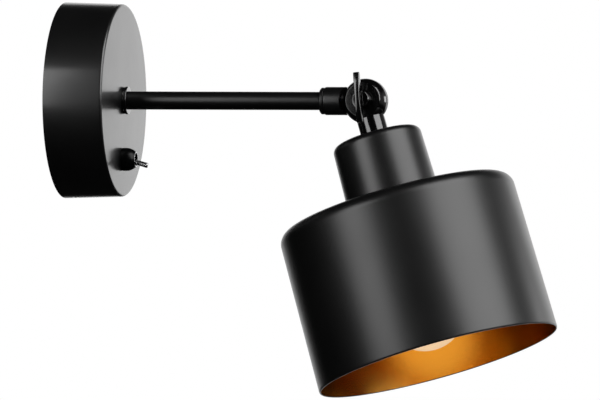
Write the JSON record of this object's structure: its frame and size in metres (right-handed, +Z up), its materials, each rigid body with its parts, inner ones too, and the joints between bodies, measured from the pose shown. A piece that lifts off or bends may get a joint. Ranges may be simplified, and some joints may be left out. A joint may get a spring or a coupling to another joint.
{
  "type": "wall reading lamp",
  "caption": "Wall reading lamp: round canopy with a toggle switch, straight arm, and a drum shade on a knuckle that tilts and swivels.",
  "frame": {"origin": "centre of the canopy on the wall's surface", "axes": "+Y points into the wall, so the arm reaches out along -Y; +Z is up; the wing screw is on the -X side"},
  "size_m": [0.135, 0.2782, 0.2166],
  "materials": {
    "black_paint": "satin black powder coat",
    "shade_paint": "satin black outside, satin gold paint inside",
    "zinc_steel": "zinc plated",
    "chrome": "polished",
    "brass": "satin",
    "white_plastic": "matt",
    "black_plastic": "moulded, low gloss",
    "porcelain": "glazed",
    "frosted_glass": "frosted, warm white",
    "bulb_metal": "bright",
    "fibre": "red vulcanised fibre",
    "brown_lead": "brown insulation",
    "blue_lead": "blue insulation",
    "earth_lead": "green and yellow insulation"
  },
  "bodies": {
    "root": {"mounting_strap": "zinc_steel", "canopy": "black_paint", "canopy_screws": "black_paint", "earth_washer": "zinc_steel", "earth_screw": "zinc_steel", "terminal_block": "white_plastic", "terminal_clamps": "brass", "terminal_screws": "zinc_steel", "switch_body": "black_plastic", "switch_bushing": "chrome", "switch_lock_nut": "zinc_steel", "switch_dome_nut": "black_paint", "switch_tags": "brass", "arm_tube": "black_paint", "root_washer": "black_paint", "root_ring": "black_paint", "toothed_washer": "zinc_steel", "root_nut": "zinc_steel", "lock_ring": "black_paint", "supply_lead": "brown_lead", "switched_lead": "brown_lead", "neutral_lead": "blue_lead", "earth_lead": "earth_lead"},
    "switch_lever": {"switch_lever": "chrome"},
    "swivel": {"knuckle_arm_half": "black_paint", "friction_washer": "fibre", "spring_washer": "zinc_steel", "knuckle_leads": "brown_lead"},
    "wing": {"wing_screw": "black_paint"},
    "head": {"knuckle_head_half": "black_paint", "nipple": "zinc_steel", "socket_cup": "black_paint", "cup_nut": "zinc_steel", "lampholder_cap": "black_plastic", "lampholder_body": "black_plastic", "lampholder_core": "porcelain", "lampholder_shell": "brass", "centre_contact": "brass", "lampholder_screws": "brass", "shade_ring": "black_plastic", "shade": "shade_paint", "bulb_glass": "frosted_glass", "bulb_cap": "bulb_metal", "bulb_insulator": "black_plastic", "bulb_tip": "bulb_metal", "head_leads": "brown_lead"}
  },
  "joints": [
    {"name": "switch_toggle", "type": "hinge", "parent": "root", "child": "switch_lever", "pos_m": [0, -0.0354, -0.0326], "axis": [-1, 0, 0], "range_deg": [0, 32]},
    {"name": "swivel", "type": "hinge", "parent": "root", "child": "swivel", "pos_m": [0, -0.1692, 0], "axis": [0, 1, 0], "range_deg": [-90, 90]},
    {"name": "head_tilt", "type": "hinge", "parent": "swivel", "child": "head", "pos_m": [0, -0.1692, 0], "axis": [-1, 0, 0], "range_deg": [-36, 181]},
    {"name": "wing_turn", "type": "hinge", "parent": "swivel", "child": "wing", "pos_m": [0, -0.1692, 0], "axis": [-1, 0, 0], "range_deg": [0, 180]}
  ]
}
